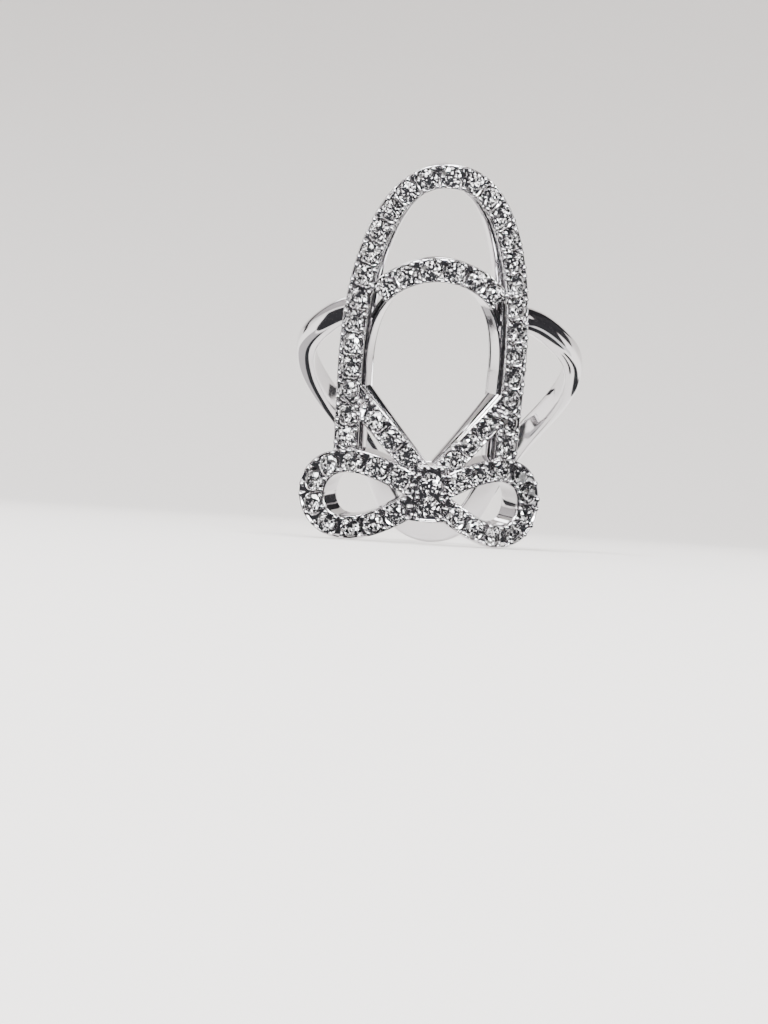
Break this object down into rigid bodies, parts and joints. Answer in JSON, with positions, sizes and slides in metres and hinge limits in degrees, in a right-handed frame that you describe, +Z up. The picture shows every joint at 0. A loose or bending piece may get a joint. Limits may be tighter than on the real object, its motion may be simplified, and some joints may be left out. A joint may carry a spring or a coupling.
{
  "type": "nail ring",
  "caption": "Silver-coloured finger ring whose open stone-set front frames a long fingernail, with a smile line, slanting ribbons and a bow, on a plain slanting shank.",
  "frame": {"origin": "centre of the bottom of the bounding box, on the plane that the bow and the low back of the shank stand on", "axes": "+Z up, the way the fingertip points but for the ring's lean; -Y the way the stone-set front faces; +X to the right as seen from the front"},
  "size_m": [0.0192, 0.0234, 0.0238],
  "materials": {
    "silver": "polished, rhodium plated",
    "crystal": "clear, faceted and polished"
  },
  "bodies": {
    "root": {"metal": "silver", "arch_stones": "crystal", "smile_stones": "crystal", "left_ribbon_stones": "crystal", "right_ribbon_stones": "crystal", "left_loop_stones": "crystal", "right_loop_stones": "crystal", "knot_stones": "crystal"}
  },
  "joints": []
}
